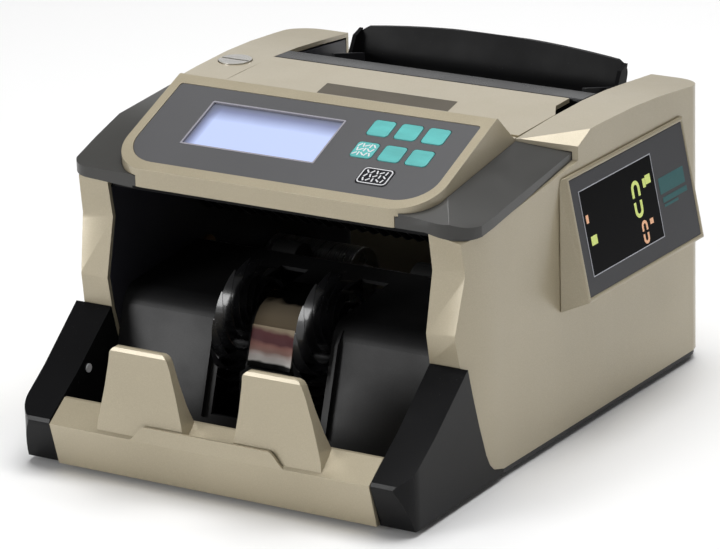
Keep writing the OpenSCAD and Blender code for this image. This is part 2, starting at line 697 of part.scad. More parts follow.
module side_display_overlay() color(dark_grey) machine() on_side_plate()
    translate([-side_plate_t + 0.05, 0.1, 0.1]) cube([side_plate_t, side_w - 0.2, side_h - 0.2]);

// ---- electrics -----------------------------------------------------------------------

inlet_x = 62;
switch_x = 30;
inlet_z = 40;

module power_supply() color([0.55, 0.50, 0.30]) machine() {
    translate([18, 246, tray_top]) cube([66, 50, 4]);
    translate([26, 254, tray_top + 3]) cube([42, 34, 36]);
}

// inlet socket and switch surround in one moulded piece, clipped into the rear cover
module power_inlet() color(matt_black) machine() {
    face_y = depth - 0.4;
    difference() {
        union() {
            translate([(inlet_x + switch_x) / 2 - 29, face_y - 1.6, inlet_z - 13]) cube([58, 1.6, 26]);
            translate([inlet_x - 14, face_y - 20, inlet_z - 10]) cube([28, 20, 20]);
            translate([switch_x - 9.5, face_y - 16, inlet_z - 10.6]) cube([19, 16, 21.2]);
        }
        translate([inlet_x - 12, face_y - 16, inlet_z - 8]) cube([24, 17, 16]);
        translate([switch_x - 7.1, face_y - 14, inlet_z - 9.6]) cube([14.2, 15, 19.2]);
    }
    for (pin = [[-7, -2], [0, 2], [7, -2]])
        translate([inlet_x + pin.x - 1, face_y - 17, inlet_z + pin.y - 2]) cube([2, 10, 4]);
}

// rocker on a pin moulded to it
module power_switch() color(gloss_black) machine() {
    pivot_y = depth - 6.2;
    difference() {
        translate([switch_x - 6.8, 0, inlet_z]) rotate([90, 0, 90]) linear_extrude(13.6)
            polygon([[depth - 9, -6], [depth - 5, -8.8], [depth - 1.6, -8.8], [depth - 2.6, 0],
                [depth - 0.6, 8], [depth - 1.2, 8.8], [depth - 5, 8.8], [depth - 9, 6]]);
        bar([pivot_y, inlet_z], switch_x - 8, switch_x + 8, 1.2);
    }
    bar([pivot_y, inlet_z], switch_x - 7, switch_x + 7, 1.2);
}

base_tray();
rubber_feet();
front_sill();
left_stop_finger();
right_stop_finger();
left_cheek();
right_cheek();
left_housing();
right_housing();
rear_cover();
left_shelf();
right_shelf();
control_bezel();
control_overlay();
lcd_window();
control_board();
key_top_left();
key_top_middle();
key_top_right();
key_low_left();
key_low_middle();
key_low_right();
start_key();
top_cover();
feed_plate();
back_plate();
left_note_guide();
right_note_guide();
left_frame();
right_frame();
stacker_plate();
note_deflector();
guide_comb();
impeller_shaft();
left_impeller();
right_impeller();
impeller_pulley();
delivery_shaft();
delivery_rollers();
delivery_pulley();
feed_shaft();
feed_rollers();
feed_pulley();
pickup_shaft();
pickup_rollers();
pickup_pulley();
feed_motor();
feed_motor_pulley();
stacker_motor();
stacker_motor_pulley();
feed_belt();
stacker_belt();
thickness_knob();
retard_pad();
side_display();
side_display_overlay();
shaft_bushes();
power_supply();
power_inlet();
power_switch();
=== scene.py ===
"""Looks of the banknote counting machine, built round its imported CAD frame.

Lengths in the helpers are millimetres in the machine's own layout: x to the right of the centre
plane, y rearwards from the front of the sill, z up from the table. place() turns them into metres.
"""

import json
import math

import bmesh
import bpy
from mathutils import Matrix, Vector

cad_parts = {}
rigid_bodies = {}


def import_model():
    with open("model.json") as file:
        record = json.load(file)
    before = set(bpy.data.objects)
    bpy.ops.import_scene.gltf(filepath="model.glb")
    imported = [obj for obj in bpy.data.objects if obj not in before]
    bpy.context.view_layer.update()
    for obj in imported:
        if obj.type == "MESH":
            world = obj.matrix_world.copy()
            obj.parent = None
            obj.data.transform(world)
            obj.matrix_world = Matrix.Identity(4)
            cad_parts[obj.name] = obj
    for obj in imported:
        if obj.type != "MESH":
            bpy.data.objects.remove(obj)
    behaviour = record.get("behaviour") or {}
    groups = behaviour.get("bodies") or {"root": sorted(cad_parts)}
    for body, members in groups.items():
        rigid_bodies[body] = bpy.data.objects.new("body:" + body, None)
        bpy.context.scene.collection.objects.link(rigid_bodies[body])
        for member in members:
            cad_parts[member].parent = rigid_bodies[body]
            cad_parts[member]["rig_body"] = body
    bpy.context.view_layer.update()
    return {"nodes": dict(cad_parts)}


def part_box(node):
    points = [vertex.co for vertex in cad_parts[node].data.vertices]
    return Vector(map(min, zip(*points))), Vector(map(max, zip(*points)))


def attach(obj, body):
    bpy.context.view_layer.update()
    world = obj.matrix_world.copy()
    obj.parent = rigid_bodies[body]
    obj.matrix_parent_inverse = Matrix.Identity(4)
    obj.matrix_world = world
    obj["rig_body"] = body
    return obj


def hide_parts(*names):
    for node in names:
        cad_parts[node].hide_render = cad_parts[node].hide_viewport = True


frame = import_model()
NODES = frame["nodes"]
MM = 0.001

MID_X = sum(corner.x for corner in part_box("control_bezel")) / 2
FRONT_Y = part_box("front_sill")[0].y
LID_RISE = 0.2  # the top cover's face lies this far above the feed plate
LID_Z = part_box("feed_plate")[1].z / MM + LID_RISE


def place(x, y, z):
    return Vector((MID_X + x * MM, FRONT_Y + y * MM, z * MM))


# ---- the two sloping faces that carry displays ------------------------------------------

PANEL_SLOPE = math.radians(21.1)
PANEL_FRONT = (63.4, 153.5)  # y and z of the panel's front edge
LCD_SIZE = (83, 38)
LCD_CENTRE = (-24.4, 44.8)
LOW_LEFT_KEY = (39.4, 42.4)
START_KEY = (55.9, 23)
PANEL_TOP = -0.4  # level of the printed overlay, below the rim

SIDE_FLARE = math.atan(11.8 / 233)
SIDE_TILT = math.radians(11.5)
SIDE_SIZE = (120, 64.3)
SIDE_GAP = 0.1  # between the dark plate's outline and the face's
SIDE_PROUD = 0.05
SIDE_BURIED = 0.95
TURN = Matrix.Rotation(-SIDE_FLARE, 3, "Z") @ Matrix.Rotation(-SIDE_TILT, 3, "Y")
SIDE_OUT, SIDE_ALONG, SIDE_UP = (TURN @ Vector(axis) for axis in ((1, 0, 0), (0, 1, 0), (0, 0, 1)))


def on_panel(x, s, h=0.0):
    """x across, s up the slope, h out of the panel's face."""
    y = PANEL_FRONT[0] + s * math.cos(PANEL_SLOPE) - h * math.sin(PANEL_SLOPE)
    return place(x, y, PANEL_FRONT[1] + s * math.sin(PANEL_SLOPE) + h * math.cos(PANEL_SLOPE))


def side_corner():
    """Lower front corner of the side display's face, worked out from the CAD plate's box."""
    low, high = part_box("side_display_overlay")
    gap, proud, buried = (value * MM for value in (SIDE_GAP, SIDE_PROUD, SIDE_BURIED))
    far_along, far_up = ((size - SIDE_GAP) * MM for size in SIDE_SIZE)
    z = low.z - gap * SIDE_UP.z + buried * SIDE_OUT.z
    y = low.y - gap * SIDE_ALONG.y - far_up * SIDE_UP.y - proud * SIDE_OUT.y
    x = high.x - far_along * SIDE_ALONG.x - gap * SIDE_UP.x - proud * SIDE_OUT.x
    return Vector((x, y, z))


SIDE_CORNER = side_corner()


def on_side(along, up, h=0.0):
    """along rearwards, up the face, h out of the side display's face."""
    return SIDE_CORNER + MM * (along * SIDE_ALONG + up * SIDE_UP + (h + SIDE_PROUD) * SIDE_OUT)


def on_lid(x, y, h=0.0):
    return place(x, y, LID_Z + h)


# ---- materials --------------------------------------------------------------------------


class Look:
    """A material whose nodes are added a step at a time, in object coordinates."""

    def __init__(self, name, colour, roughness=0.5, metallic=0.0, **sockets):
        self.material = bpy.data.materials.new(name)
        self.material.use_nodes = True
        self.tree = self.material.node_tree
        self.shader = self.tree.nodes["Principled BSDF"]
        self.coords = self.tree.nodes.new("ShaderNodeTexCoord").outputs["Object"]
        self.set("Base Color", (*colour, 1))
        self.set("Roughness", roughness)
        self.set("Metallic", metallic)
        for key, value in sockets.items():
            self.set(key.replace("_", " "), value)

    def set(self, socket, value):
        self.shader.inputs[socket].default_value = value

    def node(self, kind, inputs=(), **settings):
        made = self.tree.nodes.new("ShaderNode" + kind)
        for key, value in settings.items():
            setattr(made, key, value)
        for key, value in dict(inputs).items():
            self.join(value, made.inputs[key])
        return made

    def join(self, value, socket):
        if isinstance(value, bpy.types.NodeSocket):
            self.tree.links.new(value, socket)
        else:
            socket.default_value = value

    def noise(self, scale, detail=3.0, rough=0.55, coords=None):
        inputs = {"Vector": coords or self.coords, "Scale": scale, "Detail": detail, "Roughness": rough}
        return self.node("TexNoise", inputs).outputs["Fac"]

    def stretched(self, x, y, z):
        inputs = {"Vector": self.coords, "Scale": (x, y, z)}
        return self.node("Mapping", inputs).outputs["Vector"]

    def spread(self, value, low, high, out_low=0.0, out_high=1.0):
        inputs = {"Value": value, "From Min": low, "From Max": high, "To Min": out_low, "To Max": out_high}
        return self.node("MapRange", inputs, clamp=True).outputs["Result"]

    def ramp(self, factor, *stops):
        made = self.node("ValToRGB", {"Fac": factor})
        elements = made.color_ramp.elements
        while len(elements) < len(stops):
            elements.new(0.5)
        for element, (position, colour) in zip(elements, stops):
            element.position = position
            element.color = (*colour, 1)
        return made.outputs["Color"]

    def colour(self, value):
        self.join(value, self.shader.inputs["Base Color"])
        return self

    def rough(self, value):
        self.join(value, self.shader.inputs["Roughness"])
        return self

    def bump(self, height, strength, distance):
        inputs = {"Height": height, "Strength": strength, "Distance": distance}
        made = self.node("Bump", inputs)
        self.join(made.outputs["Normal"], self.shader.inputs["Normal"])
        return self

    def along(self, axis):
        """The object coordinate along x, y or z, in metres."""
        return self.node("SeparateXYZ", {"Vector": self.coords}).outputs["XYZ".index(axis.upper())]


def shade(colour, factor):
    return tuple(min(1.0, channel * factor) for channel in colour)


def champagne():
    base = (0.40, 0.348, 0.245)
    look = Look("champagne_gold", base, 0.33, 0.25, Coat_Weight=0.35, Coat_Roughness=0.18)
    flakes = look.node("TexVoronoi", {"Vector": look.coords, "Scale": 2600.0}).outputs["Distance"]
    drift = look.noise(7.0, 2.0)
    mixed = look.node("Math", {0: flakes, 1: drift}, operation="ADD").outputs[0]
    look.colour(look.ramp(look.spread(mixed, 0.4, 1.3), (0.0, shade(base, 0.9)), (1.0, shade(base, 1.12))))
    look.rough(look.spread(look.noise(34.0, 4.0), 0.3, 0.7, 0.28, 0.38))
    return look.bump(look.noise(2300.0, 2.0), 0.10, 0.00015).material


def gloss(name, colour, low, high, coat=0.12, level=0.16):
    """Polished moulding: faint haze, a little dust and very fine orange peel."""
    look = Look(name, colour, low, 0.0, Coat_Weight=coat, Coat_Roughness=0.12, Specular_IOR_Level=level)
    dust = look.spread(look.noise(900.0, 2.0), 0.70, 0.78)
    look.colour(look.ramp(dust, (0.0, colour), (1.0, tuple(0.03 + c for c in colour))))
    look.rough(look.spread(look.noise(22.0, 4.0), 0.35, 0.7, low, high))
    return look.bump(look.noise(420.0, 2.0), 0.05, 0.0002).material


def grained(name, colour, roughness=0.55, scale=1500.0, strength=0.25, lift=1.35, level=0.5):
    """Spark-eroded moulding: fine grain with rubbed, slightly paler patches."""
    look = Look(name, colour, roughness, Specular_IOR_Level=level)
    grain = look.noise(scale, 3.0)
    patches = look.noise(18.0, 4.0)
    mixed = look.node("Math", {0: grain, 1: patches}, operation="MULTIPLY").outputs[0]
    look.colour(look.ramp(look.spread(mixed, 0.12, 0.42), (0.0, colour), (1.0, shade(colour, lift))))
    look.rough(look.spread(patches, 0.3, 0.7, roughness + 0.06, roughness - 0.08))
    return look.bump(grain, strength, 0.00025).material


def rubber(name, colour):
    look = Look(name, colour, 0.7)
    grain = look.noise(700.0, 5.0, 0.7)
    look.colour(look.ramp(grain, (0.35, colour), (0.75, shade(colour, 1.9))))
    return look.bump(grain, 0.35, 0.0003).material


def turned(name, colour, roughness):
    """Turned metal: fine rings round the x axis."""
    look = Look(name, colour, roughness, 1.0)
    rings = look.noise(5200.0, 2.0, 0.5, look.stretched(1, 0.02, 0.02))
    look.rough(look.spread(rings, 0.3, 0.7, roughness - 0.07, roughness + 0.1))
    look.colour(look.ramp(rings, (0.3, shade(colour, 0.86)), (0.7, colour)))
    return look.bump(rings, 0.12, 0.0001).material


def spun_disc():
    """Face of the adjusting knob: brushed in circles about its own centre."""
    low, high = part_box("thickness_knob")
    centre = (low + high) / 2
    look = Look("spun_knob", (0.62, 0.60, 0.57), 0.28, 1.0)
    moved = look.node("Mapping", {"Vector": look.coords, "Location": (-centre.x, -centre.y, 0)})
    flat = look.node("VectorMath", {0: moved.outputs["Vector"], 1: (1, 1, 0)}, operation="MULTIPLY")
    radius = look.node("VectorMath", {0: flat.outputs["Vector"]}, operation="LENGTH").outputs["Value"]
    along = look.node("CombineXYZ", {"X": radius}).outputs["Vector"]
    rings = look.noise(6000.0, 2.0, 0.5, along)
    look.rough(look.spread(rings, 0.3, 0.7, 0.2, 0.42))
    look.colour(look.ramp(rings, (0.3, (0.42, 0.41, 0.39)), (0.7, (0.74, 0.72, 0.68))))
    return look.bump(rings, 0.2, 0.0001).material


def mirror_strip():
    """Polished deflector, with painted reflection: warm and dark red bands of what it mirrors, dark at both
    ends.
    """
    low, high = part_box("note_deflector")
    look = Look("mirror_strip", (0.4, 0.36, 0.30), 0.26, 0.1, Specular_IOR_Level=0.05)
    wave = look.spread(look.noise(60.0, 2.0), 0.3, 0.7, -0.0012, 0.0012)
    height = look.node("Math", {0: look.along("z"), 1: wave}, operation="ADD").outputs[0]
    up = look.spread(height, low.z, high.z)
    dark = (0.004, 0.004, 0.004)
    # Painted reflection: bands by height, pale, warm and dark red, dark at the bottom and top.
    look.colour(look.ramp(
        up, (0.0, dark), (0.09, dark),
        (0.12, (0.50, 0.48, 0.46)), (0.20, (0.40, 0.36, 0.34)),
        (0.28, (0.15, 0.085, 0.07)), (0.36, (0.12, 0.05, 0.04)),
        (0.41, (0.032, 0.002, 0.004)), (0.55, (0.035, 0.002, 0.003)),
        (0.62, (0.13, 0.10, 0.065)), (0.93, (0.19, 0.155, 0.11)), (0.96, dark)))
    return look.rough(look.spread(look.noise(300.0), 0.3, 0.7, 0.12, 0.24)).material


def printed_film(name, base):
    look = Look(name, base, 0.42, 0.0, Coat_Weight=0.1, Coat_Roughness=0.35, Specular_IOR_Level=0.35)
    grain = look.noise(2600.0, 2.0)
    look.colour(look.ramp(look.noise(9.0, 3.0), (0.3, shade(base, 0.93)), (0.7, shade(base, 1.08))))
    look.rough(look.spread(grain, 0.3, 0.7, 0.38, 0.48))
    return look.bump(grain, 0.12, 0.0001).material


def key_film():
    base = (0.085, 0.44, 0.425)
    look = Look("teal_key_film", base, 0.45)
    cloudy = look.noise(90.0, 4.0, 0.6, look.stretched(0.5, 1.6, 1.0))
    look.colour(look.ramp(cloudy, (0.3, shade(base, 0.86)), (0.55, base), (0.75, shade(base, 1.14))))
    return look.bump(look.noise(1800.0, 2.0), 0.10, 0.0001).material


def plain_mark(name, colour, glow=0.0):
    look = Look(name, colour, 0.5)
    look.colour(look.ramp(look.noise(1200.0, 2.0), (0.3, shade(colour, 0.85)), (0.7, colour)))
    if glow:
        look.set("Emission Color", (*colour, 1))
        look.set("Emission Strength", glow)
    return look.material


def lcd_light():
    """Backlit screen: pale blue, with painted shade from the deep frame along its upper and left edges."""
    look = Look("lcd_light", (0.1, 0.11, 0.15), 0.35)
    low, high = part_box("lcd_window")
    mottle = look.spread(look.noise(60.0, 2.0), 0.3, 0.7, -0.0003, 0.0003)
    y = look.node("Math", {0: look.along("y"), 1: mottle}, operation="ADD").outputs[0]
    # Painted shade: the glow darkens towards the screen's upper and left edges.
    from_top = look.spread(y, high.y - 0.0015, high.y - 0.0135)
    from_left = look.spread(look.along("x"), low.x + 0.001, low.x + 0.008)
    lit = look.node("Math", {0: from_top, 1: from_left}, operation="MULTIPLY").outputs[0]
    edge, shadow, bright = (0.035, 0.038, 0.055), (0.14, 0.16, 0.30), (0.52, 0.62, 0.96)
    glow = look.ramp(lit, (0.0, edge), (0.35, shadow), (1.0, bright))
    look.join(glow, look.shader.inputs["Emission Color"])
    look.set("Emission Strength", 0.88)
    return look.material


def dark_glass(name, colour):
    look = Look(name, colour, 0.12, 0.0, Specular_IOR_Level=0.04)
    return look.rough(look.spread(look.noise(40.0, 3.0), 0.3, 0.7, 0.08, 0.18)).material


def board():
    base = (0.03, 0.16, 0.07)
    look = Look("circuit_board", base, 0.4)
    tracks = look.node("TexWave", {"Vector": look.coords, "Scale": 160.0, "Distortion": 6.0}).outputs["Fac"]
    look.colour(look.ramp(tracks, (0.45, base), (0.55, shade(base, 1.5))))
    return look.bump(tracks, 0.3, 0.0001).material


def supply():
    """Transformer over its board: green board, laminated iron and amber tape, going up."""
    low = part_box("power_supply")[0]
    look = Look("supply_parts", (0.4, 0.3, 0.1), 0.45)
    layers = look.noise(800.0, 2.0, 0.5, look.stretched(0.02, 0.02, 1))
    up = look.spread(look.along("z"), low.z, low.z + 0.045)
    wobble = look.spread(layers, 0.3, 0.7, -0.03, 0.03)
    tone = look.node("Math", {0: up, 1: wobble}, operation="ADD").outputs[0]
    look.colour(look.ramp(
        tone, (0.08, (0.03, 0.16, 0.07)), (0.12, (0.10, 0.09, 0.08)),
        (0.45, (0.12, 0.11, 0.10)), (0.50, (0.50, 0.33, 0.06))))
    return look.bump(layers, 0.4, 0.0003).material


GOLD = champagne()
GLOSS_BLACK = gloss("gloss_black", (0.008, 0.008, 0.009), 0.20, 0.34)
# The shelves are gloss black plastic; their colour is lifted to a dark grey as painted sheen.
SHELF_BLACK = gloss("shelf_black", (0.036, 0.035, 0.032), 0.28, 0.40, 0.2, 0.45)
CHEEK_BLACK = gloss("cheek_black", (0.006, 0.006, 0.0065), 0.16, 0.28, 0.05, 0.12)
DEEP_BLACK = gloss("deep_black", (0.006, 0.006, 0.0065), 0.30, 0.42, 0.0, 0.07)
MATT_BLACK = grained("matt_black", (0.011, 0.011, 0.013), 0.5)
FRAME_BLACK = grained("frame_black", (0.020, 0.020, 0.026), 0.42, 1200.0, 0.15)
STACKER_GREY = grained("stacker_grey", (0.009, 0.009, 0.0095), 0.46, 1300.0, 0.2, 1.7, 0.3)
FILM = printed_film("printed_film", (0.080, 0.080, 0.084))
TEAL = key_film()
BLACK_KEY = gloss("black_key", (0.012, 0.012, 0.015), 0.25, 0.4, 0.3)
VANE_BLACK = gloss("vane_black", (0.008, 0.008, 0.009), 0.22, 0.36, 0.5, 0.5)
RUBBER = rubber("black_rubber", (0.007, 0.007, 0.007))
RED_RUBBER = rubber("red_rubber", (0.16, 0.03, 0.022))
STEEL = turned("turned_steel", (0.60, 0.60, 0.61), 0.3)
ALUMINIUM = turned("turned_aluminium", (0.72, 0.72, 0.73), 0.34)
BRONZE = turned("sintered_bronze", (0.50, 0.33, 0.16), 0.42)
KNOB_METAL = spun_disc()
MIRROR = mirror_strip()
LCD_LIGHT = lcd_light()
WINDOW = dark_glass("window_glass", (0.0015, 0.0015, 0.002))
BOARD = board()
SUPPLY = supply()
SURROUND = plain_mark("lcd_surround", (0.30, 0.29, 0.33))
PALE_LINE = plain_mark("pale_line", (0.52, 0.53, 0.58))
WHITE_MARK = plain_mark("white_mark", (0.72, 0.72, 0.74))
BAND = grained("band_brown", (0.092, 0.080, 0.062), 0.6, 1600.0, 0.12, 1.15, 0.2)
LABEL_TEAL = plain_mark("label_teal", (0.024, 0.125, 0.13))
SIDE_FILM = printed_film("side_film", (0.045, 0.045, 0.05))
DIGIT_GREEN = plain_mark("digit_green", (0.52, 0.60, 0.17), 0.45)
DIGIT_ORANGE = plain_mark("digit_orange", (0.66, 0.36, 0.21), 0.45)

# ---- meshes -----------------------------------------------------------------------------

CORNER_ANGLE = math.radians(25)  # an edge that turns more than this is rounded
SHARP_ANGLE = math.radians(38)  # and one that still turns more than this is shaded as a crease
WELD = 3e-6
FLAT_ANGLE = math.radians(0.4)


def round_edges(mesh, width, segments=3):
    edges = [e for e in mesh.edges if e.is_manifold and e.calc_face_angle(0) > CORNER_ANGLE]
    if edges:
        bmesh.ops.bevel(mesh, geom=edges, offset=width * MM, offset_type="OFFSET", segments=segments,
                        profile=0.5, affect="EDGES", clamp_overlap=True)


def add_piece(name, mesh, material, body, replaced=()):
    """Makes an object of the mesh, which moves with body and may stand for CAD nodes."""
    bmesh.ops.recalc_face_normals(mesh, faces=mesh.faces)
    for face in mesh.faces:
        face.smooth = True
    for edge in mesh.edges:
        edge.smooth = edge.calc_face_angle(0) < SHARP_ANGLE
    data = bpy.data.meshes.new(name)
    mesh.to_mesh(data)
    mesh.free()
    piece = bpy.data.objects.new(name, data)
    bpy.context.scene.collection.objects.link(piece)
    data.materials.append(material)
    weighted = piece.modifiers.new("even_shading", "WEIGHTED_NORMAL")
    weighted.keep_sharp = True
    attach(piece, body)
    if replaced:
        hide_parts(*replaced)
    return piece


def cad_copy(node):
    """The CAD node's surface with flat faces joined up, ready to be rounded."""
    mesh = bmesh.new()
    mesh.from_mesh(NODES[node].data)
    bmesh.ops.remove_doubles(mesh, verts=mesh.verts, dist=WELD)
    bmesh.ops.dissolve_limit(mesh, angle_limit=FLAT_ANGLE, verts=mesh.verts, edges=mesh.edges)
    return mesh


def moulded(node, width, material, segments=3):
    """A CAD node with its corners rounded as a moulding's are."""
    mesh = cad_copy(node)
    round_edges(mesh, width, segments)
    return add_piece(node + "_moulded", mesh, material, NODES[node]["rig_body"], [node])


def add_loop(mesh, at, outline, h):
    return [mesh.verts.new(at(a, b, h)) for a, b in outline]


def bridge(mesh, first, second):
    """Faces between two closed loops with the same number of points."""
    for i in range(len(first)):
        j = (i + 1) % len(first)
        mesh.faces.new((first[i], first[j], second[j], second[i]))


def slab(mesh, at, outline, low, high):
    """A closed plate between two levels over a face; outline is a list of (a, b) points."""
    under, over = add_loop(mesh, at, outline, low), add_loop(mesh, at, outline, high)
    mesh.faces.new(over)
    mesh.faces.new(under[::-1])
    bridge(mesh, under, over)


def frame_strip(mesh, at, outer, inner, low, high):
    """A closed ring between two outlines with the same number of points."""
    loops = [add_loop(mesh, at, outer, low), add_loop(mesh, at, outer, high),
             add_loop(mesh, at, inner, high), add_loop(mesh, at, inner, low)]
    for first, second in zip(loops, loops[1:] + loops[:1]):
        bridge(mesh, first, second)


def arc(cx, cy, radius, start, end, steps=6):
    angles = [math.radians(start + (end - start) * i / steps) for i in range(steps + 1)]
    return [(cx + radius * math.cos(a), cy + radius * math.sin(a)) for a in angles]


def rounded_box(cx, cy, width, height, radius, steps=6):
    x, y = width / 2 - radius, height / 2 - radius
    corners = ((x, -y, -90), (x, y, 0), (-x, y, 90), (-x, -y, 180))
    return [p for dx, dy, a in corners for p in arc(cx + dx, cy + dy, radius, a, a + 90, steps)]


def box_outline(a0, b0, a1, b1):
    return [(a0, b0), (a1, b0), (a1, b1), (a0, b1)]


def shapes(name, at, outlines, low, high, material, body, replaced=()):
    """Several plates on one face as a single piece."""
    mesh = bmesh.new()
    for outline in outlines:
        slab(mesh, at, outline, low, high)
    return add_piece(name, mesh, material, body, replaced)


# ---- casing -----------------------------------------------------------------------------


def casing():
    for side in ("left", "right"):
        moulded(side + "_stop_finger", 1.4, GOLD, 4)
        moulded(side + "_cheek", 1.3, CHEEK_BLACK, 4)
        moulded(side + "_housing", 0.9, GOLD)
        moulded(side + "_shelf", 1.0, SHELF_BLACK, 4)
        moulded(side + "_frame", 0.3, FRAME_BLACK, 2)
        moulded(side + "_note_guide", 0.5, MATT_BLACK, 2)
    moulded("front_sill", 1.0, GOLD)
    moulded("control_bezel", 0.9, GOLD)
    moulded("top_cover", 0.5, GOLD)
    moulded("rear_cover", 0.3, GOLD, 2)
    moulded("side_display", 1.0, GOLD, 4)
    moulded("feed_plate", 0.7, GLOSS_BLACK)
    moulded("back_plate", 0.7, DEEP_BLACK)
    moulded("base_tray", 0.5, MATT_BLACK, 2)
    moulded("rubber_feet", 0.3, RUBBER, 2)
    moulded("stacker_plate", 0.6, STACKER_GREY)
    moulded("guide_comb", 0.3, DEEP_BLACK, 2)
    moulded("note_deflector", 0.3, MIRROR, 2)
    moulded("power_inlet", 0.4, MATT_BLACK, 2)
    moulded("power_switch", 0.5, GLOSS_BLACK, 2)
    moulded("thickness_knob", 0.5, KNOB_METAL, 3)


def workings():
    for name in ("feed", "pickup", "delivery"):
        moulded(name + "_rollers", 0.7, RUBBER)
        moulded(name + "_pulley", 0.2, ALUMINIUM, 2)
        moulded(name + "_shaft", 0.4, STEEL, 2)
    moulded("impeller_shaft", 0.4, STEEL, 2)
    moulded("impeller_pulley", 0.2, ALUMINIUM, 2)
    for name in ("feed_motor", "stacker_motor"):
        moulded(name, 0.8, STEEL)
        moulded(name + "_pulley", 0.2, STEEL, 2)
    for name in ("feed_belt", "stacker_belt"):
        moulded(name, 0.2, RUBBER, 2)
    moulded("shaft_bushes", 0.3, BRONZE, 2)
    moulded("retard_pad", 0.6, RED_RUBBER)
    moulded("control_board", 0.2, BOARD, 2)
    moulded("power_supply", 0.8, SUPPLY, 2)


# ---- stacking wheels --------------------------------------------------------------------

WHEEL_AT = (86, 66)
WHEEL_X = 25
WHEEL_WIDTH = 13
TIP_RADIUS = 37.7
HUB_RADIUS = 10
BORE_RADIUS = 4
HUB_CHAMFER = 0.6
HUB_STEPS = 48
VANES = 15
VANE_STEPS = 18
VANE_SWEEP = math.radians(84)
VANE_ROOT = HUB_RADIUS - 1.2


def wheel_point(x, radius, angle):
    return place(x, WHEEL_AT[0] + radius * math.cos(angle), WHEEL_AT[1] + radius * math.sin(angle))


def add_hub(mesh, x):
    half = WHEEL_WIDTH / 2
    inner = half - HUB_CHAMFER
    face = HUB_RADIUS - HUB_CHAMFER
    profile = ((BORE_RADIUS, -half), (face, -half), (HUB_RADIUS, -inner),
               (HUB_RADIUS, inner), (face, half), (BORE_RADIUS, half))
    turns = [math.tau * i / HUB_STEPS for i in range(HUB_STEPS)]
    rings = [[mesh.verts.new(wheel_point(x + dx, r, turn)) for turn in turns] for r, dx in profile]
    for first, second in zip(rings, rings[1:] + rings[:1]):
        bridge(mesh, first, second)


def add_vane(mesh, x, first):
    """A thin leaf-shaped blade that sweeps back from the hub to a point."""
    sections = []
    for i in range(VANE_STEPS + 1):
        u = i / VANE_STEPS
        radius = VANE_ROOT + (TIP_RADIUS - VANE_ROOT) * u
        angle = first - VANE_SWEEP * u ** 1.5
        half = WHEEL_WIDTH / 2 * (0.05 + 0.95 * (1 - u ** 2.3) ** 0.85)
        thick = (1.5 - 0.9 * u) / radius
        corners = ((-half, 0.0), (half, 0.0), (half, thick), (-half, thick))
        sections.append([mesh.verts.new(wheel_point(x + dx, radius, angle + da)) for dx, da in corners])
    for low, high in zip(sections, sections[1:]):
        bridge(mesh, low, high)
    mesh.faces.new(sections[0][::-1])
    mesh.faces.new(sections[-1])


def stacking_wheels():
    for side, name in ((-1, "left_impeller"), (1, "right_impeller")):
        mesh = bmesh.new()
        add_hub(mesh, side * WHEEL_X)
        for i in range(VANES):
            add_vane(mesh, side * WHEEL_X, math.tau * i / VANES)
        add_piece(name + "_vanes", mesh, VANE_BLACK, "stacking_wheels", [name])


# ---- control panel ----------------------------------------------------------------------


def lcd():
    """A deep grey frame round a lit screen, whose upper and left edges carry painted shade."""
    x, s = LCD_CENTRE
    width, height = LCD_SIZE
    depth, screen_level, corner_steps = -2.0, -1.5, 2
    outer = rounded_box(x, s, width - 0.2, height - 0.2, 0.5, corner_steps)
    inner = rounded_box(x, s, width - 2.2, height - 2.2, 0.4, corner_steps)
    screen = rounded_box(x, s, width - 2.3, height - 2.3, 0.3, corner_steps)
    mesh = bmesh.new()
    frame_strip(mesh, on_panel, outer, inner, depth, PANEL_TOP)
    round_edges(mesh, 0.3, 2)
    add_piece("lcd_surround", mesh, SURROUND, "casing")
    shapes("lcd_screen", on_panel, [screen], depth, screen_level, LCD_LIGHT, "casing",
           ["lcd_window"])


def scribble(cx, cy, width, height, seed):
    """Short straight strokes in rows, as a stand-in for a printed symbol."""
    strokes = []
    rows, columns, half_stroke = 3, 5, 0.42
    for row in range(rows):
        for column in range(columns):
            turn = math.radians((seed * 37 + row * 53 + column * 71) % 120 - 60)
            x = cx + (column - (columns - 1) / 2) * width / columns
            y = cy + (row - (rows - 1) / 2) * height / rows
            along = Vector((math.sin(turn), math.cos(turn))) * height / rows * 0.42
            across = Vector((-along.y, along.x)).normalized() * half_stroke
            ends = (-along - across, along - across, along + across, -along + across)
            strokes.append([(x + e.x, y + e.y) for e in ends][::-1])
    return strokes


def keys():
    """Six teal keys and the black one, with plain strokes printed on two of them."""
    for row in ("top", "low"):
        for column in ("left", "middle", "right"):
            moulded(f"key_{row}_{column}", 0.5, TEAL)
    face = -0.1
    low, high = face - 0.05, face + 0.06
    shapes("key_low_left_print", on_panel, scribble(*LOW_LEFT_KEY, 11, 10.5, 3), low, high, WHITE_MARK,
           "key_low_left_cap")
    moulded("start_key", 0.5, BLACK_KEY)
    mesh = bmesh.new()
    frame_strip(mesh, on_panel, rounded_box(*START_KEY, 17.4, 12.5, 2.4),
                rounded_box(*START_KEY, 16.2, 11.3, 1.9), low, high)
    add_piece("start_key_outline", mesh, WHITE_MARK, "start_key_cap")
    shapes("start_key_print", on_panel, scribble(*START_KEY, 14, 9.6, 1), low, high,
           WHITE_MARK, "start_key_cap")


def panel():
    moulded("control_overlay", 0.15, FILM, 2)
    lcd()
    keys()


def lid_band():
    """Plain band in the place of the cover's lettering."""
    outline = [(-39, 184), (43, 184), (39, 203), (-43, 203)]
    shapes("cover_band", on_lid, [outline], -0.05, 0.08, BAND, "cover")


# ---- side display -----------------------------------------------------------------------

WINDOW_A = (8, 83)  # the window's extent along and up the face
WINDOW_B = (10, 56)
WINDOW_LINE = 0.5


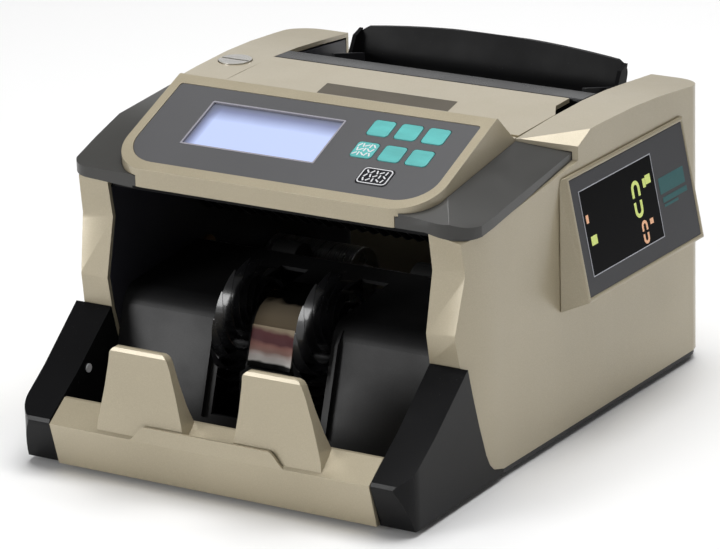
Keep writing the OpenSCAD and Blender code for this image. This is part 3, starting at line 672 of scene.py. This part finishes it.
def zero(cx, cy, width, height, stroke):
    """A numeral nought as two U-shaped halves with a gap between them."""
    halves = []
    for sign in (1, -1):
        gap, radius = 0.06 * height, width / 2
        top = height / 2 - radius
        outer = [(radius, gap), *arc(0, top, radius, 0, 180, 8), (-radius, gap)]
        inner = [(stroke - radius, gap), *arc(0, top, radius - stroke, 180, 0, 8), (radius - stroke, gap)]
        points = [(cx + a, cy + sign * b) for a, b in outer + inner]
        halves.append(points if sign > 0 else points[::-1])
    return halves


def side_display():
    """Dark plate, window, digits and a plain label."""
    moulded("side_display_overlay", 0.25, SIDE_FILM, 2)
    (a0, a1), (b0, b1) = WINDOW_A, WINDOW_B
    window = box_outline(a0, b0, a1, b1)
    rim = box_outline(a0 - WINDOW_LINE, b0 - WINDOW_LINE, a1 + WINDOW_LINE, b1 + WINDOW_LINE)
    shapes("side_window", on_side, [window], -0.3, 0.06, WINDOW, "casing")
    mesh = bmesh.new()
    frame_strip(mesh, on_side, rim, window, -0.2, 0.12)
    add_piece("side_window_edge", mesh, PALE_LINE, "casing")
    low, high, label_high = 0.02, 0.14, 0.08
    green = zero(63, 36.5, 8.5, 20.5, 2.2)
    green += [box_outline(71, 40.5, 73.8, 45.5), box_outline(74.1, 41.5, 79.4, 46.5)]
    green += [box_outline(11.5, 25.5, 17.5, 30.5)]
    orange = zero(65.5, 17.5, 6, 13, 1.7)
    orange += [box_outline(71.5, 20, 75, 23), box_outline(10.2, 38, 12.6, 42.5)]
    label = [box_outline(87, 32, 114, 41), box_outline(88.5, 27, 114.5, 30), box_outline(89, 24.5, 104, 26)]
    shapes("side_digit_upper", on_side, green, low, high, DIGIT_GREEN, "casing")
    shapes("side_digit_lower", on_side, orange, low, high, DIGIT_ORANGE, "casing")
    shapes("side_label", on_side, label, low, label_high, LABEL_TEAL, "casing")


# ---- sensor lens ------------------------------------------------------------------------

LENS_AT = (-98, 39.3, 45.9)
LENS_RADIUS = 2.4


def on_left_frame(a, b, h):
    """a rearwards, b up, h out of the left frame's inner face."""
    x, y, z = LENS_AT
    return place(x + h, y + a, z + b)


def sensor():
    """Pale sensor lens in the inner face of the left frame."""
    mesh = bmesh.new()
    slab(mesh, on_left_frame, arc(0, 0, LENS_RADIUS, 0, 345, 23), -0.2, 0.5)
    round_edges(mesh, 0.3, 2)
    add_piece("sensor_lens", mesh, WHITE_MARK, "casing")


# ---- studio -----------------------------------------------------------------------------


FLOOR_HALF = 4.0
WORLD_STRENGTH = 0.16
LIGHTS = (  # name, position, target, size, power
    ("overhead", (0.1, 0.3, 2.1), (0, 0, 0.05), (1.7, 1.7), 48),
    ("rear_sheen", (-1.3, 2.1, 0.95), (0, 0, 0.15), (2.2, 1.0), 5),
    ("front_left", (-1.5, -2.2, 0.75), (0, 0, 0.09), (1.1, 1.0), 28),
    ("right_fill", (2.3, -0.6, 0.9), (0, 0, 0.09), (1.2, 1.2), 1),
)


def soft_light(name, position, target, size, power):
    data = bpy.data.lights.new(name, "AREA")
    data.shape = "RECTANGLE"
    data.size, data.size_y = size
    data.energy = power
    lamp = bpy.data.objects.new(name, data)
    bpy.context.scene.collection.objects.link(lamp)
    lamp.location = position
    lamp.rotation_euler = (Vector(target) - Vector(position)).to_track_quat("-Z", "Y").to_euler()


def studio():
    mesh = bmesh.new()
    bmesh.ops.create_grid(mesh, x_segments=1, y_segments=1, size=FLOOR_HALF)
    data = bpy.data.meshes.new("floor")
    mesh.to_mesh(data)
    mesh.free()
    floor = bpy.data.objects.new("floor", data)
    bpy.context.scene.collection.objects.link(floor)
    data.materials.append(Look("floor_white", (0.93, 0.93, 0.93), 0.9).material)

    world = bpy.data.worlds.new("studio")
    bpy.context.scene.world = world
    world.use_nodes = True
    background = world.node_tree.nodes["Background"]
    background.inputs["Color"].default_value = (1, 1, 1, 1)
    background.inputs["Strength"].default_value = WORLD_STRENGTH
    for light in LIGHTS:
        soft_light(*light)


# Camera: solved from the edges of the photographed machine, from the front right and a little above.
CAMERA_ANGLES = (31.0, 19.30, -1.67)  # azimuth, elevation, roll
CAMERA_TARGET = (0, 100, 80)
CAMERA_DISTANCE = 2.2297
CAMERA_SLIDE = 0.0310
CAMERA_LIFT = 0.01291
CAMERA_LENS = 209.68


def camera():
    azimuth, elevation, roll = (math.radians(angle) for angle in CAMERA_ANGLES)
    back = Vector((math.sin(azimuth) * math.cos(elevation), -math.cos(azimuth) * math.cos(elevation),
                   math.sin(elevation)))
    right = Vector((math.cos(azimuth), math.sin(azimuth), 0))
    up = back.cross(right)
    eye = place(*CAMERA_TARGET) + back * CAMERA_DISTANCE + right * CAMERA_SLIDE + up * CAMERA_LIFT
    data = bpy.data.cameras.new("camera")
    data.lens = CAMERA_LENS
    data.sensor_width = 36
    cam = bpy.data.objects.new("camera", data)
    bpy.context.scene.collection.objects.link(cam)
    rolled_right = math.cos(roll) * right + math.sin(roll) * up
    rolled_up = math.cos(roll) * up - math.sin(roll) * right
    axes = Matrix((rolled_right, rolled_up, back)).transposed()
    cam.matrix_world = Matrix.Translation(eye) @ axes.to_4x4()
    bpy.context.scene.camera = cam


camera()
casing()
workings()
stacking_wheels()
panel()
lid_band()
side_display()
sensor()
studio()
bpy.context.scene.view_settings.view_transform = "Standard"
